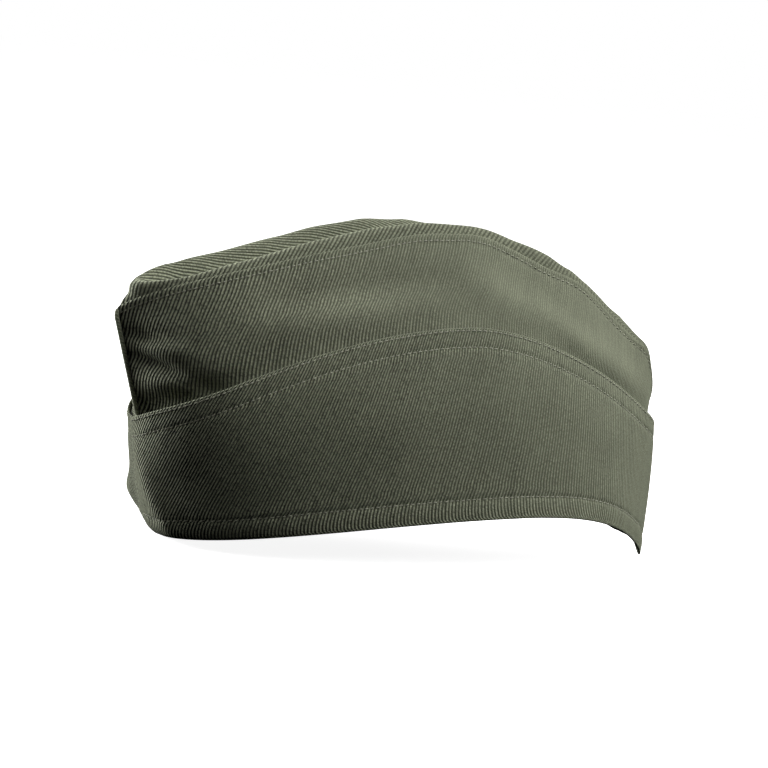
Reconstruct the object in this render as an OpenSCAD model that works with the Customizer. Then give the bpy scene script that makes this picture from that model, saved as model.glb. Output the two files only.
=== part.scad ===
/* [Head opening] */
// Length of the crown at its hem, front seam to back seam
hem_length = 238.5; // [220:0.5:255]
// Width of the crown at its hem, across the ears
hem_width = 104; // [90:1:125]
// Bluntness of the hem's ends, 2 is an ellipse
hem_power = 2.7; // [2:0.1:3]
// How far the hem rises over the ears, above its front and back ends
hem_rise = 27; // [10:1:35]
// Where along the length the hem is highest
hem_rise_x = 62; // [20:1:80]

/* [Crown] */
// Height of the ridge seam at its peak
peak_height = 151; // [130:0.5:170]
// Where along the length the ridge seam peaks
peak_x = 6; // [-10:1:40]
// Height of the pointed front end
tip_height = 103; // [85:1:120]
// How far the front seam leans forward over the hem
front_lean = 32; // [10:0.5:40]
// Height at which the ridge seams meet at the back
back_height = 75; // [70:1:90]
// How far the back seam leans forward at the top
back_lean = 3; // [0:1:12]
// Distance between the two ridge seams, towards the front
ridge_width = 54; // [30:1:60]
// Distance between the two ridge seams, towards the back
ridge_back_width = 10; // [8:1:24]
// How far the side panels swell outwards
side_swell = 8; // [0:0.5:12]
// Height of the rolls beside the centre fold, above the ridge seams
roll_height = 4; // [2:0.5:6]
// Depth of the centre fold below the ridge seams
valley_depth = 11; // [4:1:14]

/* [Turned-up flap] */
// Height of the flap's free edge at its peak
flap_peak = 110; // [90:0.5:120]
// Where along the length the flap's free edge peaks
flap_peak_x = 26; // [0:1:50]
// Height of the flap's edge at the front seam
flap_front = 56.5; // [40:0.5:66]
// Height of the flap's edge at the back seam
flap_back = 65.5; // [40:0.5:66]
// How far the flap stands off the crown at the front
stand_off = 2.4; // [0:0.1:4]
// How far the flap's rounded front swells out below its free edge
front_swell = 4; // [0:0.5:6]
// Distance of the second row of stitches from the flap's edge
second_row = 8.5; // [6:0.5:12]
// Distance of the hem stitches from the hem
hem_row = 9.5; // [6:0.5:12]

/* [Cloth] */
// Thickness of the twill shell cloth
cloth_thick = 1.2; // [0.8:0.1:1.6]
// Thickness of the stiffening cloth inside the flap
stiffener_thick = 0.5; // [0.3:0.1:0.8]
// Thickness of the lining
lining_thick = 0.6; // [0.4:0.1:0.8]
// Thickness of the sweatband
band_thick = 1.2; // [0.8:0.1:1.6]
// Height of the sweatband
band_height = 32; // [20:1:40]
// Clearance between neighbouring layers
layer_gap = 0.3; // [0.2:0.05:0.4]
// Radius of the corded edge of the front seam
cord_radius = 1; // [0.6:0.1:1.4]
// Radius of a row of sewing thread
thread_radius = 0.25; // [0.2:0.05:0.4]

/* [Hidden] */

left = -1;
right = 1;
steps_along = 40;
steps_up = 6;
steps_across = 14;
thread_rings = 56;
cord_rings = 18;
nudge = 0.002;
seam_clear = layer_gap / 2;

// Outer faces of the flap's three layers, measured out from the crown
facing_out = layer_gap + 0.1 + cloth_thick;
stiffener_out = facing_out + layer_gap + stiffener_thick;
flap_skin = stiffener_out + layer_gap + cloth_thick;
// Outer faces of the layers inside the crown, measured in from it
lining_in = cloth_thick + layer_gap;
band_in = lining_in + lining_thick + layer_gap;
cord_clear = 0.1;
total_length = hem_length + front_lean + flap_skin + 2 * cord_radius + cord_clear;

hem_back_x = total_length / 2 - flap_skin;
hem_front_x = hem_back_x - hem_length;
tip_x = hem_front_x - front_lean;
ridge_back_x = hem_back_x - back_lean;
hem_mid_x = (hem_back_x + hem_front_x) / 2;
ridge_mid_x = (ridge_back_x + tip_x) / 2;
ridge_half = (ridge_back_x - tip_x) / 2;

// The leaning front brings the flap's skin lower than the crown's hem by this much
toe_lift = 1.4;

// The ridge's outline: a rounded peak between two slopes, and a steep back end
peak_round = 20;
front_droop = 7.5;
end_bend = 7.5;
back_power = 2.1;
back_shoulder = peak_height - 56;
ridge_taper = 1.5;
narrow_arch = 2.5;
front_slope = (peak_height - tip_height - front_droop)
    / (norm([tip_x - peak_x, peak_round]) - peak_round);

function lerp(a, b, t) = a * (1 - t) + b * t;
function unit(v) = v / norm(v);
function along(u) = -cos(180 * u);
function arch(d, power) = max(0, 1 - pow(abs(d), power));

function hem_z(x) = x < hem_rise_x
    ? lerp(toe_lift, hem_rise, arch((hem_rise_x - x) / (hem_rise_x - hem_front_x), 1.45))
    : hem_rise * arch((x - hem_rise_x) / (hem_back_x - hem_rise_x), 2.7);

function hem_point(u) = let (
    s = along(u),
    x = hem_mid_x + hem_length / 2 * s
) [x, hem_width / 2 * sqrt(arch(s, hem_power)), hem_z(x)];

function front_ridge_z(x) = peak_height
    - front_slope * (norm([x - peak_x, peak_round]) - peak_round)
    - front_droop * pow((peak_x - x) / (peak_x - tip_x), 10);

function back_ridge_z(x) = let (
    run = (x - peak_x) / (ridge_back_x - peak_x),
    bend = max(0, (x - ridge_back_x + end_bend) / end_bend)
) lerp(peak_height, back_shoulder, pow(run, back_power))
    - (back_shoulder - back_height) * (1 - sqrt(max(0, 1 - bend * bend)));

function ridge_z(x) = x < peak_x ? front_ridge_z(x) : back_ridge_z(x);

function ridge_point(u) = let (
    s = along(u),
    x = ridge_mid_x + ridge_half * s,
    half = lerp(ridge_width, ridge_back_width, pow((1 + s) / 2, ridge_taper)) / 2
        * sqrt(arch(s, 4))
) [x, half, ridge_z(x)];

// The crown's right side, from the hem (v = 0) to the ridge seam (v = 1)
function side_point(u, v) = lerp(hem_point(u), ridge_point(u), v)
    + [0, side_swell * sin(180 * v) * sqrt(sin(180 * u)), 0];

function side_normal(u, v) = let (
    u1 = max(0, u - nudge),
    u2 = min(1, u + nudge),
    v1 = max(0, v - nudge),
    v2 = min(1, v + nudge)
) unit(cross(side_point(u, v2) - side_point(u, v1),
    side_point(u2, v) - side_point(u1, v)));

// A point off the side panel, kept on its own side of the centre line
function side_off(u, v, d) = let (
    p = side_point(u, v) + d * side_normal(u, v)
) [p[0], max(seam_clear, p[1]), p[2]];

function wall_height(u) = ridge_point(u)[2] - hem_point(u)[2];

function flap_z(x) = flap_peak - (x < flap_peak_x
    ? (flap_peak - flap_front) * pow((flap_peak_x - x) / (flap_peak_x - hem_front_x + 18), 1.7)
    : (flap_peak - flap_back) * pow((x - flap_peak_x) / (hem_back_x - flap_peak_x), 1.76));

function flap_v(u, tries = 4) = let (
    x = tries == 0 ? hem_point(u)[0] : side_point(u, flap_v(u, tries - 1))[0]
) (flap_z(x) - hem_point(u)[2]) / wall_height(u);

// How far the flap stands off the crown, most at the front
function flap_stand(u, t) = stand_off * pow(1 - u, 2) * (0.4 + 0.6 * t)
    + front_swell * pow(1 - u, 6) * sin(180 * t);

// The top between the ridge seams: w runs from one ridge (-1) to the other (1)
function ridge_up(u) = let (
    a = ridge_point(max(0, u - nudge)),
    b = ridge_point(min(1, u + nudge)),
    run = unit([b[0] - a[0], b[2] - a[2]])
) [-run[1], 0, run[0]];

// Two rolls beside a centre valley where the top is wide, one low arch where it is narrow
function top_rise(u, w, roll) = let (
    a = abs(w),
    half = ridge_point(u)[1],
    wide = min(1, max(0, (half - 6) / 9)),
    rolls = roll * roll_height * 1.35 * sin(180 * pow(a, 2.3)),
    valley = min(valley_depth, 0.7 * half) * pow(1 - a, 2) * (1 + 2 * a)
) lerp(narrow_arch * min(1, half / 6) * (1 - a * a), rolls - valley, wide);

function top_point(u, w, roll) = let (
    r = ridge_point(u)
) [r[0], r[1] * w, r[2]] + top_rise(u, w, roll) * ridge_up(u);

function top_normal(u, w, roll) = let (
    u1 = max(0, u - nudge),
    u2 = min(1, u + nudge),
    a = top_point(u2, w, roll) - top_point(u1, w, roll),
    b = top_point(u, w + nudge, roll) - top_point(u, w - nudge, roll)
) unit(cross(a, b));

function top_off(u, w, d, roll) = top_point(u, w, roll) + d * top_normal(u, w, roll);

// A closed sheet from two grids of points, the outer one and the inner one
module thick_sheet(outer, inner) {
    rows = len(outer);
    cols = len(outer[0]);
    half = rows * cols;
    points = [for (grid = [outer, inner]) for (row = grid) for (p = row) p];
    faces = [
        for (i = [0:rows - 2]) for (j = [0:cols - 2])
            let (a = i * cols + j, b = a + 1, c = a + cols, d = c + 1)
            each [[a, b, d], [a, d, c],
                [half + a, half + d, half + b], [half + a, half + c, half + d]],
        for (i = [0:rows - 2]) for (side = [0, cols - 1])
            let (a = i * cols + side, c = a + cols)
            each side == 0
                ? [[a, c, half + c], [a, half + c, half + a]]
                : [[a, half + c, c], [a, half + a, half + c]],
        for (j = [0:cols - 2]) for (side = [0, rows - 1])
            let (a = side * cols + j, b = a + 1)
            each side == 0
                ? [[a, half + b, b], [a, half + a, half + b]]
                : [[a, b, half + b], [a, half + b, half + a]]
    ];
    polyhedron(points = points, faces = faces, convexity = 8);
}

// One layer of a side: low(u) and high(u) give its edges as shares of the wall
module side_sheet(side, low, high, outside, thick, first = 0, last = 1) {
    outer = [for (i = [0:steps_along]) let (u = lerp(first, last, i / steps_along))
        [for (j = [0:steps_up]) let (t = j / steps_up)
            side_off(u, lerp(low(u), high(u), t), outside(u, t))]];
    inner = [for (i = [0:steps_along]) let (u = lerp(first, last, i / steps_along))
        [for (j = [0:steps_up]) let (t = j / steps_up)
            side_off(u, lerp(low(u), high(u), t), outside(u, t) - thick)]];
    scale([1, side, 1]) thick_sheet(outer, inner);
}

module top_sheet(reach, outside, thick, first, last, roll = 1) {
    function grid(d) = [for (i = [0:steps_along]) let (u = lerp(first, last, i / steps_along))
        [for (j = [0:steps_across]) top_off(u, lerp(reach, -reach, j / steps_across), d, roll)]];
    thick_sheet(grid(outside), grid(outside - thick));
}

// A thin tube along a path
module tube(path, radius, sides) {
    last = len(path) - 1;
    function run(i) = unit(path[min(last, i + 1)] - path[max(0, i - 1)]);
    points = [for (i = [0:last]) let (
            x = unit(cross(run(i), abs(run(i)[1]) > 0.9 ? [0, 0, 1] : [0, 1, 0])),
            y = cross(run(i), x)
        ) for (k = [0:sides - 1]) path[i]
            + radius * (cos(360 * k / sides) * x + sin(360 * k / sides) * y)];
    faces = [
        [for (k = [0:sides - 1]) k],
        [for (k = [sides - 1:-1:0]) last * sides + k],
        for (i = [0:last - 1]) for (k = [0:sides - 1])
            let (a = i * sides + k, b = i * sides + (k + 1) % sides)
            each [[a, a + sides, b + sides], [a, b + sides, b]]
    ];
    polyhedron(points = points, faces = faces, convexity = 6);
}

// A row of thread that lies on a side at a share of the wall, clear of the cloth
module thread_row(side, share, face, first = 0.03, last = 0.97) {
    scale([1, side, 1]) tube([for (i = [0:thread_rings])
        let (u = lerp(first, last, i / thread_rings))
        side_off(u, share(u), face(u) + thread_radius + 0.1)], thread_radius, 4);
}

function share_at(u, height) = height / wall_height(u);
function flap_out(u, t) = flap_skin + flap_stand(u, t);

module crown_side(side) {
    color([0.42, 0.43, 0.36]) side_sheet(side,
        function(u) share_at(u, 1.5), function(u) 1 - share_at(u, 1.2),
        function(u, t) 0, cloth_thick);
}

module crown_top() {
    color([0.39, 0.40, 0.34]) top_sheet(0.93, 0, cloth_thick, 0.03, 0.97);
}

module front_seam_cord() {
    color([0.46, 0.47, 0.40]) tube([for (i = [0:cord_rings])
        let (v = lerp(flap_v(0) + 0.04, 1, i / cord_rings), p = side_point(0, v))
        [p[0] - cord_radius - cord_clear, 0, p[2]]], cord_radius, 8);
}

module flap_outer(side) {
    color([0.33, 0.34, 0.29]) side_sheet(side,
        function(u) 0, function(u) flap_v(u),
        function(u, t) flap_out(u, t), cloth_thick);
}

module flap_stiffener(side) {
    color([0.85, 0.83, 0.76]) side_sheet(side,
        function(u) share_at(u, 2), function(u) flap_v(u) - share_at(u, 2),
        function(u, t) stiffener_out + flap_stand(u, t), stiffener_thick);
}

module flap_facing(side) {
    color([0.33, 0.34, 0.29]) side_sheet(side,
        function(u) share_at(u, 1.5), function(u) flap_v(u) - share_at(u, 0.4),
        function(u, t) facing_out + flap_stand(u, t), cloth_thick);
}

module lining(side) {
    color([0.30, 0.31, 0.27]) side_sheet(side,
        function(u) share_at(u, 8), function(u) 1 - share_at(u, 5),
        function(u, t) -lining_in, lining_thick, 0.02, 0.98);
}

module lining_top() {
    color([0.30, 0.31, 0.27]) top_sheet(0.8, -lining_in, lining_thick, 0.08, 0.86, 0);
}

module sweatband(side) {
    color([0.22, 0.20, 0.17]) side_sheet(side,
        function(u) share_at(u, 2), function(u) share_at(u, band_height),
        function(u, t) -band_in, band_thick);
}

module size_label() {
    color([0.92, 0.90, 0.84]) side_sheet(left,
        function(u) share_at(u, band_height + 12), function(u) share_at(u, band_height + 36),
        function(u, t) -band_in, 0.4, 0.44, 0.58);
}

module ridge_stitch(side) {
    color([0.52, 0.53, 0.46]) thread_row(side,
        function(u) 1 - share_at(u, 3.2), function(u) 0);
}

// A row of thread on the flap, at a share of the wall
module flap_row(side, share) {
    color([0.47, 0.48, 0.42]) thread_row(side, share,
        function(u) flap_out(u, share(u) / flap_v(u)), 0.015, 0.985);
}

module flap_edge_stitch(side) {
    flap_row(side, function(u) flap_v(u) - share_at(u, 1.4));
}

module flap_second_stitch(side) {
    flap_row(side, function(u) flap_v(u) - share_at(u, second_row));
}

module hem_stitch(side) {
    flap_row(side, function(u) share_at(u, hem_row));
}

crown_side(left);  // crown_side_left
crown_side(right);  // crown_side_right
crown_top();
front_seam_cord();
flap_outer(left);  // flap_outer_left
flap_outer(right);  // flap_outer_right
flap_stiffener(left);  // flap_stiffener_left
flap_stiffener(right);  // flap_stiffener_right
flap_facing(left);  // flap_facing_left
flap_facing(right);  // flap_facing_right
lining(left);  // lining_left
lining(right);  // lining_right
lining_top();
sweatband(left);  // sweatband_left
sweatband(right);  // sweatband_right
size_label();
ridge_stitch(left);  // ridge_stitch_left
ridge_stitch(right);  // ridge_stitch_right
flap_edge_stitch(left);  // flap_edge_stitch_left
flap_edge_stitch(right);  // flap_edge_stitch_right
flap_second_stitch(left);  // flap_second_stitch_left
flap_second_stitch(right);  // flap_second_stitch_right
hem_stitch(left);  // hem_stitch_left
hem_stitch(right);  // hem_stitch_right
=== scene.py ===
# %% [markdown]
# # A side cap in olive-grey twill
#
# The object is a soft cap that folds flat: two side panels meet in a front and a back seam,
# a narrow top panel with two rolls and a centre fold joins them, and a double flap is turned
# up all round. The imported CAD model gives the places of all pieces. This script makes every
# piece again as cloth, leather or thread, with folds, seams and woven materials.
#
# The first cell loads the frame and keeps its box, to print beside the finished cap's box at the end.

# %% Load the frame
import math

import bpy
import numpy as np
from mathutils import Matrix, Vector


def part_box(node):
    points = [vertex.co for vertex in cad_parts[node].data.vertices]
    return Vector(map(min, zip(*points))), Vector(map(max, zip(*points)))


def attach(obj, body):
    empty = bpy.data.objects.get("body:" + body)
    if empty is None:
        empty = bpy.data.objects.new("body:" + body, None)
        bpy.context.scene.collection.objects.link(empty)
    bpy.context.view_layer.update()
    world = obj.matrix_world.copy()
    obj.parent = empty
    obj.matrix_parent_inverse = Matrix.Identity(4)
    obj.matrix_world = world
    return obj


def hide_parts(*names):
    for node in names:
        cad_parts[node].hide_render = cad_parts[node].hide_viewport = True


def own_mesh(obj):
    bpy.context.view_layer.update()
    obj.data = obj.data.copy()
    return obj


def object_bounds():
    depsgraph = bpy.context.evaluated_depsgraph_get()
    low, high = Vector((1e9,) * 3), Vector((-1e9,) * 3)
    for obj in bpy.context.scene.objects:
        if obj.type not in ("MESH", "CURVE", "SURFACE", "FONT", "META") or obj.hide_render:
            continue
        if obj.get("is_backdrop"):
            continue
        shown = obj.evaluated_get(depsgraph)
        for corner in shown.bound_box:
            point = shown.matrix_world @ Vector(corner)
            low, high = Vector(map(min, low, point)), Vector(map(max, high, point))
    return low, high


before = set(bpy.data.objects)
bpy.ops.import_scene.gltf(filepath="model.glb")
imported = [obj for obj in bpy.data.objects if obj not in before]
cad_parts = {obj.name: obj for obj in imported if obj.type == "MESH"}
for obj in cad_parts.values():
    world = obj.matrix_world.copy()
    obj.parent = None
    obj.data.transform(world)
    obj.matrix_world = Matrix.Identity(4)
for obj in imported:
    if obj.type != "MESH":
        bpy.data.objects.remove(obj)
cad_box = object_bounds()

# %% [markdown]
# ## The camera
#
# A catalogue picture of a cap is taken a little from the front and a little above it, with a
# long lens. The camera could be aimed by a constraint, but three plain angles and a distance
# say the same and are easy to change. The roll comes from a cap that leans on its stand.

# %% Camera
mm = 0.001
camera_azimuth = math.radians(-17.66)
camera_elevation = math.radians(8.39)
camera_roll = math.radians(6.64)
camera_distance = 1100 * mm
camera_target = Vector((-5.1, 0, 76.0)) * mm
lens_mm = 108.8

looks = Vector((
    -math.sin(camera_azimuth) * math.cos(camera_elevation),
    math.cos(camera_azimuth) * math.cos(camera_elevation),
    -math.sin(camera_elevation),
))
level = Vector((math.cos(camera_azimuth), math.sin(camera_azimuth), 0))
upright = level.cross(looks)
rolled_right = math.cos(camera_roll) * level + math.sin(camera_roll) * upright
rolled_up = math.cos(camera_roll) * upright - math.sin(camera_roll) * level

camera = bpy.data.objects.new("camera", bpy.data.cameras.new("camera"))
camera.data.lens = lens_mm
camera.data.sensor_width = 36
camera.data.clip_start = 0.05
camera.data.clip_end = 50
camera.matrix_world = Matrix.Translation(camera_target - looks * camera_distance) @ Matrix(
    (rolled_right, rolled_up, -looks)).transposed().to_4x4()
bpy.context.scene.collection.objects.link(camera)
bpy.context.scene.camera = camera
print("camera stands at", [round(x, 3) for x in camera.location])

# %% [markdown]
# ## The pattern
#
# A tailor works from a paper pattern: the outline of the hem, the line of the ridge seam and
# the height of the flap. Here the pattern is a few formulas in millimetres. A point on a side
# panel has two numbers: `u` runs from the front seam (0) to the back seam (1), and `v` from
# the hem (0) to the ridge seam (1). Sculpting would be quicker for one view, but formulas
# keep the lining, the flap and the threads exactly beside each other all the way round.

# %% Helpers for curves
def mix(a, b, t):
    return a * (1 - t) + b * t


def arch(d, power):
    return np.maximum(0, 1 - np.abs(d) ** power)


def ease(x, low, high):
    """0 below low, 1 above high, smooth between."""
    t = np.clip((x - low) / (high - low), 0, 1)
    return t * t * (3 - 2 * t)


def bell(x, centre, width):
    return np.exp(-((x - centre) / width) ** 2)


def through(x, stops):
    """A smooth curve through (place, value) stops."""
    places, values = np.array(stops, float).T
    i = np.clip(np.searchsorted(places, x) - 1, 0, len(places) - 2)
    t = ease(x, places[i], places[i + 1])
    return mix(values[i], values[i + 1], t)


def stack(x, y, z):
    return np.stack(np.broadcast_arrays(x, y, z), -1)


print("halfway up an ease:", float(ease(0.5, 0, 1)))

# %% Where the cloth lies, from the frame
def corner(node, which):
    return np.array(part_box(node)[which]) / mm


cloth = 1.2
layer_gap = 0.3
stiffener_cloth = 0.5
lining_cloth = 0.6
leather = 1.2
facing_out = layer_gap + 0.1 + cloth
stiffener_out = facing_out + layer_gap + stiffener_cloth
flap_skin = stiffener_out + layer_gap + cloth
lining_in = cloth + layer_gap
band_in = lining_in + lining_cloth + layer_gap

cord_radius = 1.0
top_seam = 1.2
hem_back_x = corner("flap_outer_left", 1)[0] - flap_skin
tip_x = corner("front_seam_cord", 0)[0] + 2 * cord_radius + 0.1
peak_height = corner("crown_side_left", 1)[2] + top_seam
print("back seam at", round(hem_back_x, 1), "tip at", round(tip_x, 1), "peak", round(peak_height, 1))

# %% The hem and the ridge seam
hem_length = 238.5
hem_width = 104
hem_power = 2.7
hem_rise = 26.2
hem_rise_x = 62
hem_front_power = 1.45
hem_drop = 2.7
right_hem_drop = 12
toe_lift = 1.4
peak_x = 6
peak_round = 20
tip_height = 103
front_droop = 7.5
back_height = 75
back_shoulder = peak_height - 56
back_lean = 1.6
back_power = 2.1
end_bend = 7.5
ridge_width = 54
ridge_back_width = 10
ridge_taper = 1.5
side_swell = 8
front_full = 5
edge_length = 16
back_pinch = 22

hem_front_x = hem_back_x - hem_length
ridge_back_x = hem_back_x - back_lean
# The ridge seam isn't drawn tight: it dips and lifts a little where the cloth is slack
seam_waves = [
    (-28, 20, -0.9), (28, 15, 2.0), (62, 11, -0.8), (84, 12, 1.7), (106, 9, -0.8), (125, 5, 1.6)]


def sharpened(behind):
    """Share of the width left where the cloth runs into a sewn edge."""
    return np.sqrt(1 - np.exp(-np.maximum(0, behind) / edge_length))


def hem(u):
    s = -np.cos(np.pi * u)
    x = (hem_back_x + hem_front_x) / 2 + hem_length / 2 * s
    pinched = sharpened((hem_back_x - x) * edge_length / back_pinch)
    y = hem_width / 2 * np.sqrt(arch(s, hem_power)) * pinched
    to_front = (hem_rise_x - x) / (hem_rise_x - hem_front_x)
    to_back = (x - hem_rise_x) / (hem_back_x - hem_rise_x)
    front = mix(toe_lift, hem_rise, arch(to_front, hem_front_power))
    back = hem_rise * arch(to_back, hem_drop)
    return stack(x, y, np.where(x < hem_rise_x, front, back))


def back_tuck(u):
    """0 along the cap, 1 at its back, where the inner layers end higher behind the hem."""
    return ease(u, 0.8, 0.97)


def right_lift(u):
    """The right side's hem stays up longer before it drops to the back seam."""
    to_back = ((hem(u)[..., 0] - hem_rise_x) / (hem_back_x - hem_rise_x)).clip(0)
    return hem_rise * (arch(to_back, right_hem_drop) - arch(to_back, hem_drop))


def ridge_z(x):
    slope = (peak_height - tip_height - front_droop) / (
        math.hypot(tip_x - peak_x, peak_round) - peak_round)
    front = peak_height - slope * (np.hypot(x - peak_x, peak_round) - peak_round)
    front -= front_droop * np.clip((peak_x - x) / (peak_x - tip_x), 0, None) ** 10
    run = np.clip((x - peak_x) / (ridge_back_x - peak_x), 0, None)
    bend = np.clip((x - ridge_back_x + end_bend) / end_bend, 0, 1)
    back = mix(peak_height, back_shoulder, run ** back_power)
    back -= (back_shoulder - back_height) * (1 - np.sqrt(1 - bend ** 2))
    waves = sum(height * bell(x, at, width) for at, width, height in seam_waves)
    return np.where(x < peak_x, front, back) + waves


def ridge(u):
    s = -np.cos(np.pi * u)
    x = (ridge_back_x + tip_x) / 2 + (ridge_back_x - tip_x) / 2 * s
    half = mix(ridge_width, ridge_back_width, ((1 + s) / 2) ** ridge_taper) / 2
    return stack(x, half * np.sqrt(arch(s, 4)) * sharpened((x - tip_x) * 0.55), ridge_z(x))


def wall(u):
    """Height of the side panel, hem to ridge."""
    return ridge(u)[..., 2] - hem(u)[..., 2]


halfway_wide, halfway_high = 2 * float(ridge(0.5)[1]), float(wall(0.5))
print("ridge is", round(halfway_wide, 1), "wide halfway,", round(halfway_high, 1), "high")

# %% [markdown]
# ## The side panels' surface
#
# Above the flap the two panels are sewn into a sharp front edge, while the flap wraps round
# the front in a soft curve. One function gives both: `edge` pulls the panel in behind the
# seam. At the back both sides run into one sewn edge, which drops to a beak, and the hem of the
# right side drops later than that of the left one. The normal comes from small steps along the
# surface, which is simpler than its exact derivative and good enough for cloth.

# %% A point on a side
left, right = -1, 1
hand_name = {left: "left", right: "right"}
flap_front_height = 55
swell_power = 1.2
seam_touch = 0.02
nudge = 0.002


def side(u, v, edge):
    low, high = hem(u), ridge(u)
    point = low * (1 - v)[..., None] + high * v[..., None]
    behind = point[..., 0] - mix(hem(0.0)[0], ridge(0.0)[0], v)
    sewn = edge * ease(v * wall(u), flap_front_height - 14, flap_front_height + 6)
    narrowed = mix(1, sharpened(behind), sewn)
    full = side_swell * np.sqrt(np.sin(np.pi * np.clip(u, 0, 1)))
    full = full + front_full * bell(u, 0.2, 0.11) * ease(u, 0, 0.03)
    swell = full * np.sin(np.pi * np.clip(v, 0, 1) ** swell_power)
    point[..., 1] = (low[..., 1] * (1 - v) + swell) * narrowed + high[..., 1] * v
    return point


def side_normal(u, v, edge):
    u1, u2 = np.maximum(0, u - nudge), np.minimum(1, u + nudge)
    across = side(u2, v, edge) - side(u1, v, edge)
    up = side(u, v + nudge, edge) - side(u, v - nudge, edge)
    normal = np.cross(up, across)
    # At the two seams the layers of both sides meet, so there the normal has no part across
    normal[..., 1] *= ease(u, 0, 0.01) * (1 - ease(u, 0.95, 1))
    return normal / np.linalg.norm(normal, axis=-1, keepdims=True)


def off_side(u, height, out, hand, edge=1):
    """A point `height` above the hem and `out` from the panel of the left or right hand."""
    v = height / wall(u)
    point = side(u, v, edge) + out[..., None] * side_normal(u, v, edge)
    point[..., 1] = np.maximum(seam_touch, point[..., 1]) * hand
    if hand == right:
        point[..., 2] += right_lift(u) * (1 - v).clip(0, 1)
    return point


# %% The flap's height and how far it stands off
flap_peak = 110
flap_peak_x = 26
flap_front = 56.5
flap_back = 65.5
stand_off = 2.4
front_swell = 5.5
front_notch = 2.2


def flap_height(u):
    """Height of the flap's free edge above the hem, found in a few steps as the panel leans."""
    x = hem(u)[..., 0]
    for _ in range(4):
        front = ((flap_peak_x - x) / (flap_peak_x - hem_front_x + 18)).clip(0) ** 1.7
        back = ((x - flap_peak_x) / (hem_back_x - flap_peak_x)).clip(0) ** 1.76
        z = flap_peak - (flap_peak - flap_front) * front - (flap_peak - flap_back) * back
        height = z - hem(u)[..., 2]
        x = side(u, height / wall(u), 0)[..., 0]
    return height - front_notch * bell(u, 0, 0.07)


def flap_stand(u, t):
    low = stand_off * (1 - u) ** 2 * (0.4 + 0.6 * t) * (0.3 + 0.7 * ease(u, 0, 0.1))
    return low + front_swell * (1 - u) ** 6 * np.sin(np.pi * np.clip(t, 0, 1) ** 0.5)


ends = flap_height(np.array([0.0, 0.5, 1.0]))
print("flap's height at front, middle and back:", ends.round(1))

# %% [markdown]
# ## Folds and puckers
#
# Cloth that was folded for storage keeps soft creases, and a row of stitches draws the cloth
# together. A cloth simulation could find some folds, but not these ones. So each fold is
# given one by one: a line on the panel from one point to another, with a width and a height.
# A negative height is a crease, a positive one a crest. The same relief moves the cloth and
# the threads sewn on it, so they stay together.

# %% Folds as soft lines
def fold(x, z, start, end, width, height):
    """Relief of one fold on points (x, z): a soft line that fades out at both ends."""
    start, end = np.array(start, float), np.array(end, float)
    run = end - start
    share = ((x - start[0]) * run[0] + (z - start[1]) * run[1]) / (run @ run)
    near = np.clip(share, 0, 1)
    away = np.hypot(x - start[0] - near * run[0], z - start[1] - near * run[1])
    fade = 0.35 + 0.65 * np.sin(np.pi * near)
    return height * fade * np.exp(-((away / width) ** 2))


# start (x, z), end (x, z), width, height in millimetres
left_folds = [
    ((-128, 82), (-109, 77), 2.8, -3.4),
    ((-125, 88), (-104, 87), 4.6, 2.2),
    ((-122, 72), (-104, 71), 5.0, 1.6),
    ((-131, 92), (-119, 90), 2.6, -1.8),
    ((-128, 99), (-108, 96), 5.0, 0.8),
    ((-112, 76), (-92, 72), 4.0, -1.2),
    ((22, 132), (70, 112), 10.0, 1.3),
    ((66, 116), (124, 82), 8.0, 2.4),
    ((74, 100), (120, 76), 5.0, -1.2),
    ((30, 140), (60, 125), 8.0, -1.1),
    ((60, 128), (96, 104), 6.0, -0.8),
    ((-80, 102), (0, 119), 9.0, 1.6),
    ((-70, 114), (14, 132), 7.0, -1.8),
    ((-96, 96), (-60, 84), 12.0, -0.6),
    ((-40, 128), (0, 138), 7.0, -0.6),
]
right_folds = [
    ((-130, 78), (-108, 84), 3.6, -2.0),
    ((-124, 70), (-104, 76), 6.0, 1.4),
    ((-120, 92), (-96, 98), 6.0, 1.0),
    ((10, 136), (64, 122), 10.0, 1.2),
    ((60, 120), (122, 84), 10.0, 1.4),
    ((30, 126), (76, 104), 9.0, -0.9),
    ((-84, 100), (-30, 116), 13.0, 0.9),
]
folds_of = {left: left_folds, right: right_folds}
print("folds:", len(left_folds), "on the left,", len(right_folds), "on the right")

# %% Relief of the crown and of the flap
ridge_row = 3.2
edge_row = 1.4
second_row = 8.5
hem_row = 9.5
sink_depth = 4.6
right_bulge = 4.2


def slack(along, height, hand):
    """Low waves that any soft cloth keeps, different on the two sides."""
    first = np.sin(along / 17 + 0.05 * height + 0.8 * hand)
    second = np.sin(along / 9.5 - height / 21 + 2.1 * hand)
    return 0.22 * first + 0.13 * second


def pucker(along, distance, reach, pitch, depth):
    """Ripples beside a row of stitches, and the groove that its thread pulls."""
    ripple = np.sin(2 * np.pi * along / pitch + 1.3 * np.sin(along / 23))
    beside = np.exp(-np.abs(distance) / reach)
    return depth * (0.3 * ripple * beside - bell(distance, 0, 0.8))


def crown_relief(u, height, hand):
    point = side(u, height / wall(u), 1)
    x, z = point[..., 0], point[..., 2]
    relief = sum(fold(x, z, *one) for one in folds_of[hand])
    relief = relief + slack(x, height, hand)
    # Behind the flap's front the crown sinks in, so that the flap stands open
    sunk = bell(height, flap_height(u) - 1, 7.5) * (1 - ease(x, -112, -56))
    relief = relief - sink_depth * sunk * ease(u, 0.0, 0.06)
    below_ridge = wall(u) - height
    relief = relief + pucker(x, below_ridge - ridge_row, 2.2, 5.3, 0.32)
    relief = relief + 0.35 * bell(below_ridge, ridge_row / 2, 1.3)
    tucked = bell(height, flap_height(u) + 2, 10) * ease(u, 0.9, 1)
    return relief * ease(u, 0, 0.02) * (1 - ease(u, 0.985, 1)) - 2.6 * tucked


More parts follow.
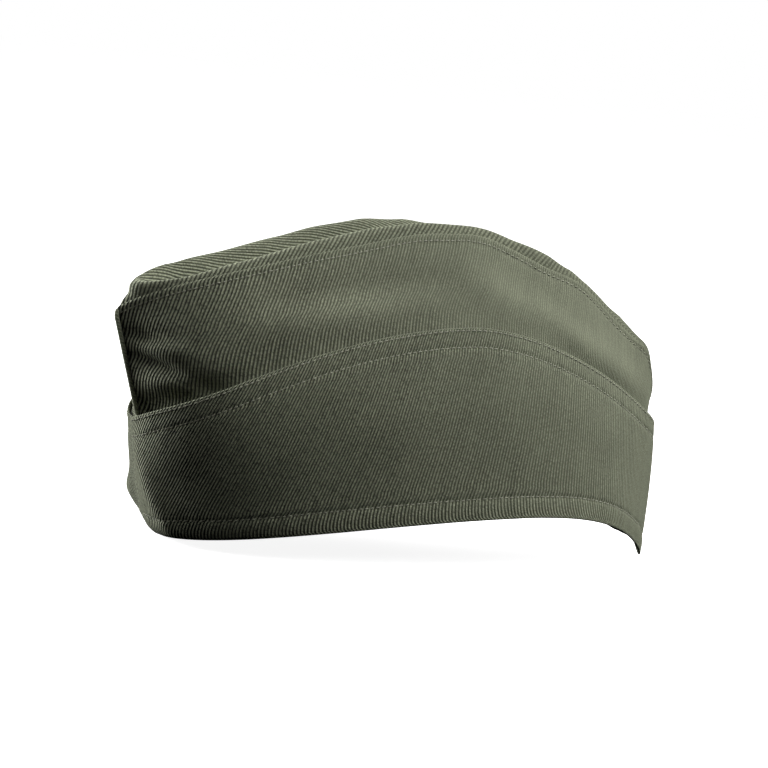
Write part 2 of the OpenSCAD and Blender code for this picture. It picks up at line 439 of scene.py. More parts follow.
flap_folds = [
    ((-108, 22), (-92, 40), 10.0, -0.8),
    ((-100, 12), (-60, 18), 8.0, 0.5),
    ((-40, 60), (10, 76), 14.0, 0.6),
    ((60, 86), (104, 58), 10.0, 0.5),
    ((84, 44), (112, 30), 9.0, 0.6),
]


def flap_relief(u, height, hand):
    point = side(u, height / wall(u), 0)
    x, z = point[..., 0], point[..., 2]
    relief = sum(fold(x, z, *one) for one in flap_folds)
    relief = relief + 0.8 * slack(x, height, -hand)
    below_edge = flap_height(u) - height
    relief = relief + pucker(x, below_edge - edge_row, 1.2, 4.6, 0.14)
    relief = relief + pucker(x, below_edge - second_row, 2.6, 6.1, 0.42)
    relief = relief + pucker(x, height - hem_row, 2.8, 6.7, 0.5)
    relief = relief + 0.2 * bell(height, 4.5, 3)
    relief = relief * ease(u, 0, 0.03) * (1 - ease(u, 0.97, 1))
    # The front is blunt, with a soft corner on each side that leans outwards to the hem
    share = (height / flap_height(u)).clip(0, 1)
    standing = np.sin(np.pi * share ** 0.5)
    keel = 2.6 * bell(u, 0.01 + 0.1 * (1 - share), 0.03) - 1.2 * bell(u, 0, 0.03)
    if hand == right:
        bulge = bell(share, 0.32, 0.16) * bell(u, 0.07, 0.06) * ease(u, 0, 0.04)
        keel = keel + right_bulge * bulge
    lean_in = ease(u, 0.88, 1) * (0.6 + 1.6 * share ** 4)
    return relief + keel * standing - lean_in


# %% [markdown]
# ## From points to a mesh
#
# Each layer is a closed sheet with a real thickness and rounded edges, because a cap shows
# its cut edges and its inside. A Solidify modifier could thicken a plain surface, but here
# the section is drawn as one loop: up the outer face, over a round edge, down the inner face
# and round again. The sheet carries an attribute `weave` with the distance across the ribs,
# the distance along them, and a third number: for the twill, how deep its ribs are and how much
# painted rib shade they get; for the leather, how worn it is. The materials read it.

# %% Build a mesh with its weave
made = []


def mesh_object(name, points, faces, weave):
    mesh = bpy.data.meshes.new(name)
    mesh.from_pydata((points.reshape(-1, 3) * mm).tolist(), [], faces)
    mesh.attributes.new("weave", "FLOAT_VECTOR", "POINT").data.foreach_set(
        "vector", weave.reshape(-1).astype(np.float32))
    mesh.shade_smooth()
    mesh.validate()
    piece = bpy.data.objects.new(name, mesh)
    bpy.context.scene.collection.objects.link(piece)
    made.append(piece)
    return piece


def loft(rows, sides, flip):
    """Faces between neighbouring loops of a closed section."""
    i, k = np.meshgrid(np.arange(rows - 1), np.arange(sides), indexing="ij")
    a = i * sides + k
    b = i * sides + (k + 1) % sides
    quads = np.stack([a, a + sides, b + sides, b], -1).reshape(-1, 4)
    return (quads[:, ::-1] if flip else quads).tolist()


def end_faces(start, face_steps, round_steps, flip):
    """Closes one end of a sheet with a strip of small faces."""
    back = 2 * face_steps + round_steps - 1
    strip = [[j, j + 1, back - j - 1, back - j] for j in range(face_steps - 1)]
    strip.append(list(range(face_steps - 1, face_steps + round_steps + 1)))
    strip.append([*range(back, back + round_steps + 1), 0])
    return [[start + k for k in (face[::-1] if flip else face)] for face in strip]


# %% A sheet with rounded edges
def section(face_steps, round_steps):
    """One loop round a sheet: share of the height, depth from 0 to 1, and how far an edge rounds."""
    up = np.linspace(0, 1, face_steps)
    turn = np.pi * (np.arange(round_steps) + 1) / (round_steps + 1)
    share = np.concatenate([up, np.ones(round_steps), up[::-1], np.zeros(round_steps)])
    depth = np.concatenate([
        np.zeros(face_steps), (1 - np.cos(turn)) / 2, np.ones(face_steps), (1 + np.cos(turn)) / 2])
    beyond = np.concatenate([
        np.zeros(face_steps), np.sin(turn), np.zeros(face_steps), -np.sin(turn)])
    return share, depth, beyond


def arc_length(points):
    """Distance along the first axis, from the first row."""
    steps = np.linalg.norm(np.diff(points, axis=0), axis=-1)
    return np.concatenate([np.zeros_like(steps[:1]), np.cumsum(steps, 0)])


def side_sheet(name, hand, low, high, outside, thick, weave_of,
               relief=None, edge=1, first=0.0, last=1.0, along_steps=280, face_steps=64):
    """A layer of a side panel. low, high and outside are functions of u (and share)."""
    share, depth, beyond = section(face_steps, 5)
    u = np.linspace(first, last, along_steps)[:, None] * np.ones(len(share))
    height = mix(low(u), high(u), share) + beyond * thick / 2
    out = outside(u, share) - thick * depth
    if relief:
        out = out + relief(u, height, hand)
    points = off_side(u, height, out, hand, edge)
    along = arc_length(points)
    weave = stack(*weave_of(along, height))
    flip = hand == left
    faces = loft(along_steps, len(share), flip)
    faces += end_faces(0, face_steps, 5, flip)
    faces += end_faces((along_steps - 1) * len(share), face_steps, 5, not flip)
    return mesh_object(name, points, faces, weave)


# %% [markdown]
# ## Shader maths in Python
#
# A material is a graph of nodes, which is hard to read as code. This small class wraps one
# socket, so that an expression such as `0.5 + 0.5 * wave` adds its own Math nodes. Any other
# node comes from `node`, which takes its type, its settings and its inputs.

# %% One class for sockets
class Wire:
    """A socket of a material's node tree."""

    def __init__(self, tree, socket=None):
        self.tree = tree
        self.socket = socket

    def node(self, kind, settings=(), inputs=(), output=0):
        new = self.tree.nodes.new(kind)
        for name, value in dict(settings).items():
            if name == "stops":
                for at, colour in value[2:]:
                    new.color_ramp.elements.new(at).color = colour
                for stop, (at, colour) in zip(new.color_ramp.elements, sorted(value)):
                    stop.position, stop.color = at, colour
            else:
                setattr(new, name, value)
        for key, value in dict(inputs).items():
            if isinstance(value, Wire):
                self.tree.links.new(value.socket, new.inputs[key])
            else:
                new.inputs[key].default_value = value
        return Wire(self.tree, new.outputs[output])

    def maths(self, operation, *values):
        return self.node("ShaderNodeMath", {"operation": operation}, enumerate(values))

    def __add__(self, other):
        return self.maths("ADD", self, other)

    def __sub__(self, other):
        return self.maths("SUBTRACT", self, other)

    def __rsub__(self, other):
        return self.maths("SUBTRACT", other, self)

    def __mul__(self, other):
        return self.maths("MULTIPLY", self, other)

    def __truediv__(self, other):
        return self.maths("DIVIDE", self, other)

    def __pow__(self, other):
        return self.maths("POWER", self, other)

    __radd__ = __add__
    __rmul__ = __mul__

    def sine(self):
        return self.maths("SINE", self)

    def attribute(self, name):
        return self.node("ShaderNodeAttribute", {"attribute_name": name}, (), "Vector")

    def part(self, axis):
        return self.node("ShaderNodeSeparateXYZ", (), {0: self}, axis)

    def noise(self, scale, detail=3.0, rough=0.55):
        """Noise around 0.5 at this vector, with features 1 / scale apart."""
        return self.node("ShaderNodeTexNoise", {"noise_dimensions": "3D"}, {
            "Vector": self, "Scale": scale, "Detail": detail, "Roughness": rough}, "Fac")

    def blend(self, first, second):
        """A colour between two colours, by this value."""
        return self.node("ShaderNodeMix", {"data_type": "RGBA"}, {0: self, 6: first, 7: second}, 2)


def colour(red, green, blue):
    return (red, green, blue, 1.0)


def scaled(tint, by):
    return colour(*(min(1, c * by) for c in tint[:3]))


def shaded(tint, shade, brightest=2.0):
    """The tint times a shade that varies: 0 is black, 1 the tint itself, 2 the brightest."""
    return (0.5 * shade).blend(scaled(tint, 0.0), scaled(tint, brightest))


# %% A material with its shader
def new_material(name, **constants):
    """A Principled material and a bare Wire to start its maths from."""
    material = bpy.data.materials.new(name)
    material.use_nodes = True
    shader = material.node_tree.nodes["Principled BSDF"]
    for socket, value in constants.items():
        shader.inputs[socket.replace("_", " ")].default_value = value
    return material, shader, Wire(material.node_tree)


def feed(shader, start, colour_wire, rough_wire, height_wire, relief_mm):
    """Feeds what changes over the surface: colour, roughness, and a bump of a real height."""
    normal = start.node("ShaderNodeBump", (), {
        "Height": height_wire, "Distance": relief_mm * mm, "Strength": 1.0}, "Normal")
    for socket, wire in (("Base Color", colour_wire), ("Roughness", rough_wire), ("Normal", normal)):
        start.tree.links.new(wire.socket, shader.inputs[socket])


# %% [markdown]
# ## The twill
#
# Twill shows steep ribs, because each warp yarn floats over several weft yarns and the next
# yarn does the same one step higher. An image could carry that, but a formula stays sharp at
# any distance. The rib is a sine across the weave, each float a sine along it that starts
# half a float later on the next rib. On top come a different shade for every yarn, soft
# mottling and pale flecks of loose fibre. Sheen gives the wool its dusty edge. The third
# number of `weave` sets how deep the ribs are and how strong their colour contrast is. That
# contrast is painted shade, strongest towards the front of the cap.

# %% Twill
twill_tint = colour(0.129, 0.138, 0.095)


def twill(name, tint, rib_pitch, rib_relief, contrast):
    material, shader, start = new_material(
        name, Sheen_Weight=0.22, Sheen_Roughness=0.45, Sheen_Tint=colour(0.58, 0.63, 0.47),
        Specular_IOR_Level=0.22)
    weave = start.attribute("weave")
    wander = weave.noise(0.06, 2.0) - 0.5
    across = weave.part(0) / rib_pitch + 0.5 * wander
    along = weave.part(1) / rib_pitch
    yarn = across.maths("FLOOR", across)
    step = yarn.maths("MODULO", yarn, 2.0) * 0.5
    rib = 0.5 + 0.5 * ((across - yarn - 0.25) * (2 * math.pi)).sine()
    beads = 0.5 + 0.5 * ((along + step) * (2 * math.pi)).sine()
    dashes = start.node("ShaderNodeCombineXYZ", (), {0: yarn * 3.7, 1: along * 1.2}).noise(1.0, 1.0)
    beads = 0.3 * beads + 2.4 * dashes - 0.8
    yarn_shade = start.node("ShaderNodeTexWhiteNoise", {"noise_dimensions": "1D"}, {"W": yarn})
    mottle = weave.noise(0.045, 4.0)
    cloud = weave.noise(0.012, 2.0)
    fibre = weave.noise(2.6, 2.0, 0.7)
    fleck = fibre.maths("GREATER_THAN", fibre, 0.63) * (weave.noise(0.7, 1.0))
    # The third weave number: rib depth, and painted shade in the ribs' colour contrast
    rib_depth_and_painted_shade = weave.part(2)
    height = (0.3 + 0.6 * rib_depth_and_painted_shade) * 0.7 * rib * (0.65 + 0.35 * beads) + 0.3 * fibre
    # The rib term of this colour, scaled by the third weave number, is painted shade
    light = (
        1.0 + contrast * rib_depth_and_painted_shade * (1.9 * rib * (0.34 + 0.66 * beads) - 0.64)
        + 0.10 * (yarn_shade - 0.5) + 0.34 * (mottle - 0.5) + 0.26 * (cloud - 0.5)
        + 0.75 * (fibre - 0.5)
    )
    flecked = (0.5 * fleck).blend(shaded(tint, light), scaled(tint, 2.6))
    rough = 0.97 - 0.12 * rib
    feed(shader, start, flecked, rough, height, rib_relief)
    return material


shell_material = twill("shell_twill", twill_tint, 1.55, 0.6, 1.25)
print("twill nodes:", len(shell_material.node_tree.nodes))

# %% [markdown]
# ## The other finishes
#
# Thread is two plies twisted together, so its shade runs in a helix. The lining is a smooth
# plain weave with a little gloss, the stiffening is undyed canvas, the sweatband is thin
# leather with a pebbled grain that is paler where it wears, and the label is a blank tape.

# %% Thread, and the corded seam
def twisted(name, tint, turn_mm, plies, relief_mm):
    """weave holds the distance along the yarn, and the turn round it from 0 to 1."""
    material, shader, start = new_material(
        name, Sheen_Weight=0.2, Sheen_Roughness=0.4, Specular_IOR_Level=0.3)
    weave = start.attribute("weave")
    helix = (weave.part(0) / turn_mm + weave.part(1)) * (2 * math.pi * plies)
    ply = 0.5 + 0.5 * helix.sine()
    fluff = weave.noise(3.0, 3.0)
    shade = 0.8 + 0.25 * ply + 0.5 * (fluff - 0.5)
    base = shaded(tint, shade)
    feed(shader, start, base, 0.9 - 0.15 * ply, 0.7 * ply + 0.3 * fluff, relief_mm)
    return material


strand_turn = 4.8
thread_material = twisted("thread", colour(0.3, 0.305, 0.235), 1.4, 2, 0.06)
# The cord is of the same twill; its tint is 2.3 times lighter as painted light, against the shade on its
# side away from the lamps
cord_material = twisted("seam_cord", scaled(twill_tint, 2.3), strand_turn, 3, 0.2)
print("yarns:", thread_material.name, cord_material.name)


# %% Plain weaves: lining, stiffening and label
def plain_weave(name, tint, pitch, relief_mm, rough, contrast, sheen):
    material, shader, start = new_material(
        name, Sheen_Weight=sheen, Sheen_Roughness=0.35, Specular_IOR_Level=0.35)
    weave = start.attribute("weave")
    warp = 0.5 + 0.5 * (weave.part(0) * (2 * math.pi / pitch)).sine()
    weft = 0.5 + 0.5 * (weave.part(1) * (2 * math.pi / pitch)).sine()
    cross = warp * weft + (1 - warp) * (1 - weft)
    cloud = weave.noise(0.05, 3.0)
    fibre = weave.noise(1.8, 2.0)
    shade = 1 - contrast + contrast * cross + 0.3 * (cloud - 0.5) + 0.25 * (fibre - 0.5)
    base = shaded(tint, shade)
    feed(shader, start, base, rough + 0.1 * (fibre - 0.5), 0.8 * cross + 0.2 * fibre, relief_mm)
    return material


lining_material = plain_weave("lining", colour(0.075, 0.08, 0.058), 0.45, 0.03, 0.55, 0.25, 0.15)
stiffener_material = plain_weave("stiffener", colour(0.7, 0.68, 0.6), 0.9, 0.12, 0.9, 0.35, 0.05)
label_material = plain_weave("label", colour(0.78, 0.75, 0.66), 0.5, 0.05, 0.8, 0.2, 0.1)
print("plain weaves:", lining_material.name, stiffener_material.name, label_material.name)


# %% Leather
def grain_leather(name, tint):
    material, shader, start = new_material(name, Specular_IOR_Level=0.5, Sheen_Weight=0.03)
    weave = start.attribute("weave")
    pebbles = start.node("ShaderNodeTexVoronoi", {"feature": "F1"}, {
        "Vector": weave, "Scale": 1.1, "Randomness": 0.9}, "Distance")
    fine = weave.noise(1.4, 4.0)
    cloud = weave.noise(0.04, 3.0)
    worn = weave.part(2)
    height = 0.7 * (1 - pebbles) + 0.3 * fine
    shade = 0.62 + 0.25 * height + 0.5 * (cloud - 0.5) + 0.5 * worn
    base = shaded(tint, shade, 2.2)
    feed(shader, start, base, 0.42 + 0.22 * fine + 0.1 * (1 - worn), height, 0.12)
    return material


leather_material = grain_leather("sweatband", colour(0.052, 0.04, 0.029))
print("leather nodes:", len(leather_material.node_tree.nodes))

# %% [markdown]
# ## Finishing a piece
#
# Every piece rides on one half of the cap, takes the finish it is given, and stands for one
# CAD node, which it hides.


def place(piece, node, slot, material, body):
    piece.data.materials.append(material)
    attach(piece, body)
    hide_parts(node)
    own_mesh(piece)
    return piece


half_of = {left: "left_half", right: "right_half"}

# %% [markdown]
# ## The crown's side panels
#
# Each side of the crown is one panel of twill, with its top edge turned in and stitched along
# the ridge. Its ribs lean back a little. The panel could be draped by simulation over a
# head form, but an empty cap holds its shape by its seams, so the pattern and the folds make
# it directly. At the back its lower edge ends higher, so that it stays behind the hem's drop.

# %% Crown sides
rib_lean = math.radians(66)
# Shrunk with steam, the ribs lie closer together towards the back
rib_spread = 0.86
rib_closing = 0.0009


def crown_weave(along, height):
    eased = along * (rib_spread + rib_closing * along)
    across = eased * math.sin(rib_lean) - height * math.cos(rib_lean)
    # Deeper ribs and more painted rib shade towards the front, less towards the back
    rib_depth_and_painted_shade = 1.6 * np.exp(-along / 100)
    return across, along * math.cos(rib_lean) + height * math.sin(rib_lean), rib_depth_and_painted_shade


for hand in (left, right):
    name = "crown_side_" + hand_name[hand]
    piece = side_sheet(
        name + "_cloth", hand,
        low=lambda u: 1.5 + 6.5 * back_tuck(u), high=lambda u: wall(u) - 0.7,
        outside=lambda u, t: 0 * u, thick=cloth, weave_of=crown_weave,
        relief=crown_relief, along_steps=320, face_steps=84)
    place(piece, name, "shell_twill", shell_material, half_of[hand])
    print(name, len(piece.data.vertices), "points")

# %% [markdown]
# ## The top panel
#
# Between the ridge seams runs a narrow panel with a fold down its middle. The fold pushes the
# cloth up into a roll on each side, and no two rolls are alike: their heights follow a few
# stops along the cap, different left and right. Towards the back the panel gets narrow and
# the rolls give way to one low arch.

# %% The top's shape
valley_depth = 11
# (x, height of the arch where the panel is too narrow for rolls)
arch_stops = [(-140, 2), (-131, 3), (-124, 10.5), (-112, 9), (-60, 3.6), (140, 3.6)]
# (x, height of the roll above the ridge seam)
roll_stops = {
    left: [(-140, 2.6), (-127, 5.2), (-106, 3.2), (-86, 4.3), (-46, 6.6), (-26, 7.2), (-6, 5.9),
           (26, 4.8), (41, 5.0), (64, 8.2), (76, 6.0), (86, 3.6), (140, 4)],
    right: [(-140, 4.0), (-124, 9.6), (-104, 6.6), (-84, 5.6), (-60, 6.2), (-40, 7.8), (-22, 7.5),
            (-3, 4.4), (14, 2.2), (50, 2.6), (90, 1.8), (140, 2.4)],
}


def top_point(u, w, rolled=1):
    """w runs across the top from the left ridge seam (-1) to the right one (1)."""
    seam = ridge(u)
    behind = ridge(np.minimum(1, u + nudge)) - ridge(np.maximum(0, u - nudge))
    run = behind[..., [0, 2]] / np.linalg.norm(behind[..., [0, 2]], axis=-1, keepdims=True)
    a, half = np.abs(w), seam[..., 1]
    left_roll, right_roll = (through(seam[..., 0], roll_stops[hand]) for hand in (left, right))
    stops = np.where(w < 0, left_roll, right_roll)
    wide = np.clip((half - 6) / 9, 0, 1)
    rolls = rolled * stops * np.sin(np.pi * a ** 2.3)
    valley = np.minimum(valley_depth, 0.7 * half) * (1 - a) ** 2 * (1 + 2 * a)
    low = through(seam[..., 0], arch_stops) * np.minimum(1, half / 6) * (1 - a ** 2)
    rise = mix(low, rolls - valley, wide)
    # The seam itself lies a little lower, as it is pulled tight
    rise = rise - 1.1 * bell(half * (1 - a), 0, 1.4)
    return stack(seam[..., 0] - run[..., 1] * rise, half * w, seam[..., 2] + run[..., 0] * rise)


def off_top(u, w, out, rolled=1):
    u1, u2 = np.maximum(0, u - nudge), np.minimum(1, u + nudge)
    run = top_point(u2, w, rolled) - top_point(u1, w, rolled)
    across = top_point(u, w + 0.01, rolled) - top_point(u, w - 0.01, rolled)
    normal = np.cross(run, across)
    normal = normal / np.linalg.norm(normal, axis=-1, keepdims=True)
    return top_point(u, w, rolled) + out[..., None] * normal


# %% Top panel and its lining
top_rib_lean = {left: math.radians(44), right: math.radians(24)}


def top_sheet(name, reach, out, thick, first, last, rolled, along_steps, face_steps):
    share, depth, beyond = section(face_steps, 5)
    u = np.linspace(first, last, along_steps)[:, None] * np.ones(len(share))
    half = ridge(u)[..., 1]
    w = reach * (2 * share - 1) + beyond * thick / 2 / half.clip(1)
    thin = np.minimum(thick, 0.5 * half)
    x = ridge(u)[..., 0]
    slackness = 0.25 * np.sin(x / 11 + 1.7 * w) + 0.15 * np.sin(x / 6.3 - w)
    points = off_top(u, w, out - thin * depth + slackness * (1 - np.abs(w)), rolled)
    along = arc_length(points)
    from_edge = arc_length(points.swapaxes(0, 1)).T
    inward = np.minimum(from_edge, from_edge[:, [face_steps - 1]] - from_edge)
    lean = np.where(w < 0, top_rib_lean[left], top_rib_lean[right])
    across = along * np.sin(lean) - inward * np.cos(lean)
    # The third number: rib depth and painted rib shade, less towards the back
    weave = stack(across, along * np.cos(lean) + inward * np.sin(lean), 1 - along / 400)
    faces = loft(along_steps, len(share), False)
    faces += end_faces(0, face_steps, 5, False)
    faces += end_faces((along_steps - 1) * len(share), face_steps, 5, True)
    return mesh_object(name, points, faces, weave)


crown_top = top_sheet("crown_top_cloth", 0.985, 0.0, cloth, 0.006, 0.992, 1, 300, 72)
place(crown_top, "crown_top", "shell_twill", shell_material, "left_half")
lining_top = top_sheet("lining_top_cloth", 0.8, -lining_in, lining_cloth, 0.08, 0.86, 0, 120, 30)
place(lining_top, "lining_top", "lining", lining_material, "left_half")
print("top panel:", len(crown_top.data.vertices), "points")

# %% [markdown]
# ## The flap
#
# The flap is a band of twill, turned up all round and sewn to the hem. Its outer cloth is
# folded over the free edge and under at the hem, a stiffening keeps it up, and a facing
# closes it behind. All three are the same kind of sheet at a different distance from the
# crown. The ribs of the outer cloth turn upright towards the back, because the band is cut
# straight and steamed into its curve.

# %% Outer cloth, stiffening and facing
flap_lean_front = math.radians(53)
flap_lean_back = math.radians(76)


def flap_weave(along, height):
    share = along / along.max()
    lean = mix(flap_lean_front, flap_lean_back, ease(share, 0.2, 1))
    # Deeper ribs and more painted rib shade towards the front, less towards the back
    rib_depth_and_painted_shade = 1.9 * np.exp(-along / 150)
    return (along - height / np.tan(lean)) * 0.94, height + along * np.cos(lean), rib_depth_and_painted_shade


for hand in (left, right):
    for layer, low, below, out, thick, slot, material in (
        ("flap_outer_", -0.2, 0.6, flap_skin, cloth, "shell_twill", shell_material),
        ("flap_stiffener_", 2, 2, stiffener_out, stiffener_cloth, "stiffener", stiffener_material),
        ("flap_facing_", 1.5, 0.8, facing_out, cloth, "shell_twill", shell_material),
    ):
        name = layer + hand_name[hand]
        outermost = layer == "flap_outer_"
        piece = side_sheet(
            name + "_cloth", hand,
            low=lambda u: low + (0 if outermost else 4.5) * back_tuck(u),
            high=lambda u: flap_height(u) - below,
            outside=lambda u, t: out + flap_stand(u, t), thick=thick, weave_of=flap_weave,
            relief=flap_relief, edge=0,
            along_steps=320 if outermost else 200, face_steps=76 if outermost else 40)
        place(piece, name, slot, material, half_of[hand])
print("flap layers:", [o.name for o in made if o.name.startswith("flap")])

# %% [markdown]
# ## Inside: lining, sweatband and label
#
# The lining follows the crown's cloth from inside, so it takes the same relief. The sweatband
# is a strip of leather with a soft upper edge that waves a little, because only its lower
# edge is sewn. The label is a small blank tape on the left lining.

# %% Lining and sweatband
band_height = 32


def straight_weave(along, height):
    return along, height, 0


def band_weave(along, height):
    return along, height, np.exp(-np.abs(band_height - height) / 1.5)


def band_relief(u, height, hand):
    loose = ease(height, 8, band_height)
    wave = np.sin(26 * u + hand) + 0.6 * np.sin(61 * u + 2 * hand)
    return -0.35 * loose * (1 + 0.5 * wave) + 0.3 * bell(height, band_height - 1.5, 1.6)


for hand in (left, right):
    name = "lining_" + hand_name[hand]
    piece = side_sheet(
        name + "_cloth", hand, low=lambda u: 8 + 6 * back_tuck(u), high=lambda u: wall(u) - 5,
        outside=lambda u, t: -lining_in + 0 * u, thick=lining_cloth, weave_of=straight_weave,
        relief=crown_relief, first=0.02, last=0.98, along_steps=200, face_steps=48)
    place(piece, name, "lining", lining_material, half_of[hand])
    name = "sweatband_" + hand_name[hand]
    piece = side_sheet(
        name + "_leather", hand, low=lambda u: 2 + 10 * back_tuck(u), high=lambda u: band_height + 0 * u,
        outside=lambda u, t: -band_in + 0 * u, thick=leather, weave_of=band_weave,
        relief=band_relief, first=0.012, last=0.975, along_steps=240, face_steps=24)
    place(piece, name, "sweatband", leather_material, half_of[hand])

# %% Label
label_low = band_height + 12
label_high = band_height + 36
piece = side_sheet(
    "size_label_tape", left, low=lambda u: label_low + 0 * u, high=lambda u: label_high + 0 * u,
    outside=lambda u, t: -band_in + 0.1 * np.cos(2 * np.pi * t), thick=0.4,
    weave_of=straight_weave, relief=crown_relief, first=0.44, last=0.58,
    along_steps=40, face_steps=26)
place(piece, "size_label", "label", label_material, "left_half")
print("inside pieces:", [o.name for o in made[-5:]])

# %% [markdown]
# ## Threads
#
# A lockstitch shows as short dashes: the thread lies on the cloth for one stitch, then dips
# through a hole. The rows could be bump in the twill, but real threads catch light from any
# side. So each row is one thin tube that follows the cloth's own relief and goes under it
# between two stitches.

# %% A tube along a path
def tube(name, path, side_ways, out_ways, radius, sides):
    """A closed tube; radius is a function of the point's number and the turn."""
    turn = 2 * np.pi * np.arange(sides) / sides
    number = np.arange(len(path))[:, None]
    size = radius(number, turn)[..., None]
    ring = np.cos(turn)[:, None] * out_ways[:, None] + np.sin(turn)[:, None] * side_ways[:, None]
    points = path[:, None] + size * ring
    along = arc_length(path[:, None])
    weave = stack(along, turn / (2 * np.pi), 0)
    faces = loft(len(path), sides, True)
    faces += [[sides - 1 - k for k in range(sides)], [(len(path) - 1) * sides + k for k in range(sides)]]
    return mesh_object(name, points, faces, weave)


def frame_along(path, out_ways):
    """Directions across the path that stay square to it."""
    run = np.gradient(path, axis=0)
    run /= np.linalg.norm(run, axis=-1, keepdims=True)
    side_ways = np.cross(run, out_ways)
    side_ways /= np.linalg.norm(side_ways, axis=-1, keepdims=True)
    return side_ways, np.cross(side_ways, run)


# %% Rows of stitches
stitch_length = 2.7
points_per_stitch = 9
thread_radius = 0.27
thread_lift = 0.2
hole_depth = 0.9


def stitch_row(name, hand, height_of, out_of, relief, edge):
    """height_of(u) is the row's height above the hem, out_of(u) the cloth's outer face."""
    fine = np.linspace(0.014, 0.986, 3000)
    rough_path = off_side(fine, height_of(fine), out_of(fine), hand, edge)
    distance = arc_length(rough_path)
    count = int(distance[-1] / stitch_length) * points_per_stitch
    at = np.linspace(0, distance[-1], count)
    u = np.interp(at, distance, fine)
    phase = (at / stitch_length) % 1
    height = height_of(u) + 0.3 * (phase - 0.5)
    dip = bell(phase, 0, 0.2) + bell(phase, 1, 0.2)
    lift = thread_lift - hole_depth * dip
    path = off_side(u, height, out_of(u) + relief(u, height, hand) + lift, hand, edge)
    above = off_side(u, height, out_of(u) + relief(u, height, hand) + lift + 1, hand, edge)
    side_ways, out_ways = frame_along(path, above - path)
    return tube(name, path, side_ways, out_ways, lambda i, turn: thread_radius + 0 * i * turn, 6)


def flap_face(height_of):
    return lambda u: flap_skin + flap_stand(u, height_of(u) / flap_height(u))


rows = {
    "ridge_stitch_": (lambda u: wall(u) - ridge_row, None),
    "flap_edge_stitch_": (lambda u: flap_height(u) - edge_row, flap_relief),
    "flap_second_stitch_": (lambda u: flap_height(u) - second_row, flap_relief),
    "hem_stitch_": (lambda u: hem_row + 0 * u, flap_relief),
}
for row, (height_of, relief) in rows.items():
    for hand in (left, right):
        name = row + hand_name[hand]
        out_of = flap_face(height_of) if relief else (lambda u: 0 * u)
        piece = stitch_row(name + "_thread", hand, height_of, out_of, relief or crown_relief,
                           0 if relief else 1)
        place(piece, name, "thread", thread_material, half_of[hand])
        print(name, len(piece.data.vertices), "points")

# %% [markdown]
# ## The corded front seam
#
# The raw edges of the front seam are bound over a thin cord, which shows as a twisted welt
# from the flap up to the tip. It is a tube again, with three strands that turn round it.

# %% Front seam cord
cord_v = np.linspace(float(flap_height(np.array(0.0)) / wall(0.0)) - 0.03, 0.992, 300)
cord_path = side(np.zeros(300), cord_v, 1) - np.array([cord_radius + 0.1, 0, 0])
cord_path[:, 0] += 1.1 * ease(cord_v, 0.95, 1)
cord_path[:, 1] = 0
cord_along = arc_length(cord_path)
cord_sideways, cord_outways = frame_along(cord_path, np.tile([-1.0, 0, 0], (300, 1)))


def cord_size(i, turn):
    strands = np.cos(3 * (turn + 2 * np.pi * cord_along[i] / strand_turn))
    closing = np.sqrt(1 - (np.abs(i - 149.5) / 150) ** 30)
    return cord_radius * (1.1 + 0.05 * strands) * closing


cord_piece = tube("front_seam_cord_rope", cord_path, cord_sideways, cord_outways, cord_size, 24)
place(cord_piece, "front_seam_cord", "seam_cord", cord_material, "left_half")
print("cord is", round(float(cord_along[-1]), 1), "mm long")

# %% [markdown]
# ## Floor and light
#
# The floor and the world are plain white, so that the cap stands alone. The key light is a
# large soft box high over the back of the cap, which leaves its front dark. A low one in front
# of the cap, on its right side, draws the front edge, and three weak ones keep the shadows
# readable. An environment picture would be quicker, but soft boxes are easy to move.

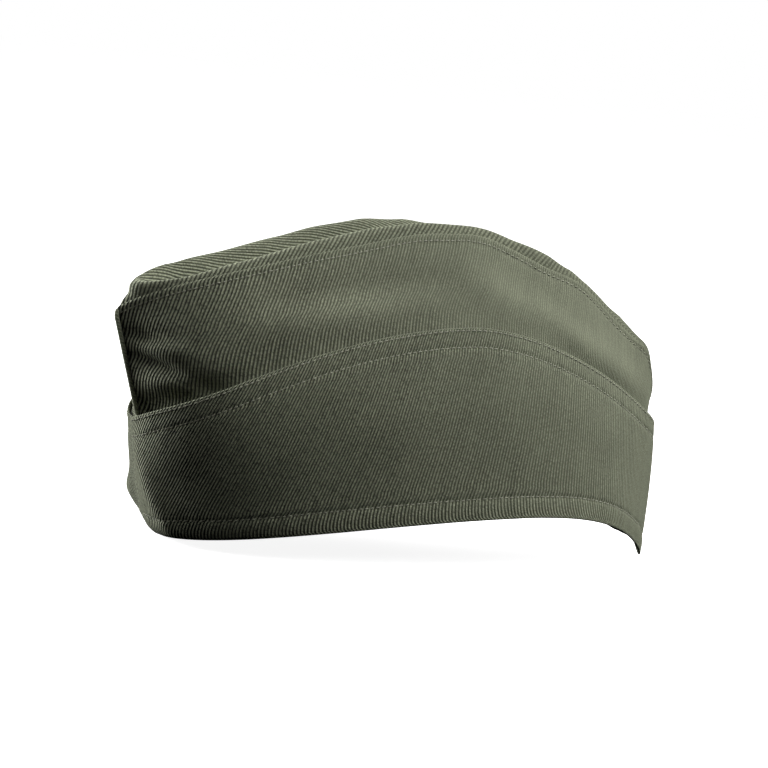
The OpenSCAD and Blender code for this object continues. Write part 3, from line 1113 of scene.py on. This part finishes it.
# %% Stage
shadow_reach = 0.9
floor_material, floor_shader, start = new_material(
    "floor", Base_Color=colour(0.9, 0.9, 0.9), Roughness=0.9, Emission_Strength=1.0)
spot = start.node("ShaderNodeTexCoord", (), (), "Object")
far_off = spot.node("ShaderNodeVectorMath", {"operation": "LENGTH"}, {0: spot}, "Value") / shadow_reach
glow = far_off.maths("MINIMUM", far_off, 1.0).blend(colour(0.9, 0.9, 0.9), colour(1, 1, 1))
start.tree.links.new(glow.socket, floor_shader.inputs["Emission Color"])
floor_mesh = bpy.data.meshes.new("floor")
floor_size = 12
floor_mesh.from_pydata(
    [(x * floor_size, y * floor_size, -1.5 * mm) for x, y in ((-1, -1), (1, -1), (1, 1), (-1, 1))],
    [], [(0, 1, 2, 3)])
floor_mesh.materials.append(floor_material)
floor = bpy.data.objects.new("floor", floor_mesh)
floor.visible_diffuse = False
floor.visible_glossy = False
bpy.context.scene.collection.objects.link(floor)
floor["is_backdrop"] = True

world = bpy.data.worlds.new("studio")
bpy.context.scene.world = world
world.use_nodes = True
world.node_tree.nodes["Background"].inputs["Color"].default_value = colour(1, 1, 1)
world.cycles_visibility.diffuse = False
world.cycles_visibility.glossy = False
bpy.context.scene.view_settings.view_transform = "Standard"
print("floor is", 2 * floor_size, "m wide")


# %% Lights
def soft_box(name, place_at, size, brightness):
    """An area light that gives a white card facing it this brightness."""
    towards = Vector((0, 0, 0.07)) - Vector(place_at)
    light = bpy.data.objects.new(name, bpy.data.lights.new(name, "AREA"))
    light.data.shape = "DISK"
    light.data.size = size
    light.data.energy = brightness * math.pi ** 2 * towards.length_squared
    light.location = place_at
    light.rotation_euler = towards.to_track_quat("-Z", "Y").to_euler()
    bpy.context.scene.collection.objects.link(light)
    return light


soft_box("key", (1.05, -0.3, 1.45), 1.1, 1.6)
soft_box("front", (0.9, -1.0, 1.2), 0.9, 0.36)
soft_box("top", (-0.6, -0.3, 1.6), 0.9, 0.12)
soft_box("rim", (-1.1, 1.0, 0.5), 0.8, 2.0)
soft_box("left", (-1.5, 0.2, 0.6), 0.8, 0.22)

# %% [markdown]
# ## Close
#
# The last cell prints the finished cap's box beside the CAD box.

# %% Sizes and table
visual_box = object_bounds()
sizes = {
    "cad": [list(cad_box[0]), list(cad_box[1])],
    "visual": [list(visual_box[0]), list(visual_box[1])],
}
for name, (low_corner, high_corner) in sizes.items():
    print(name, [round(x / mm, 1) for x in low_corner], [round(x / mm, 1) for x in high_corner])
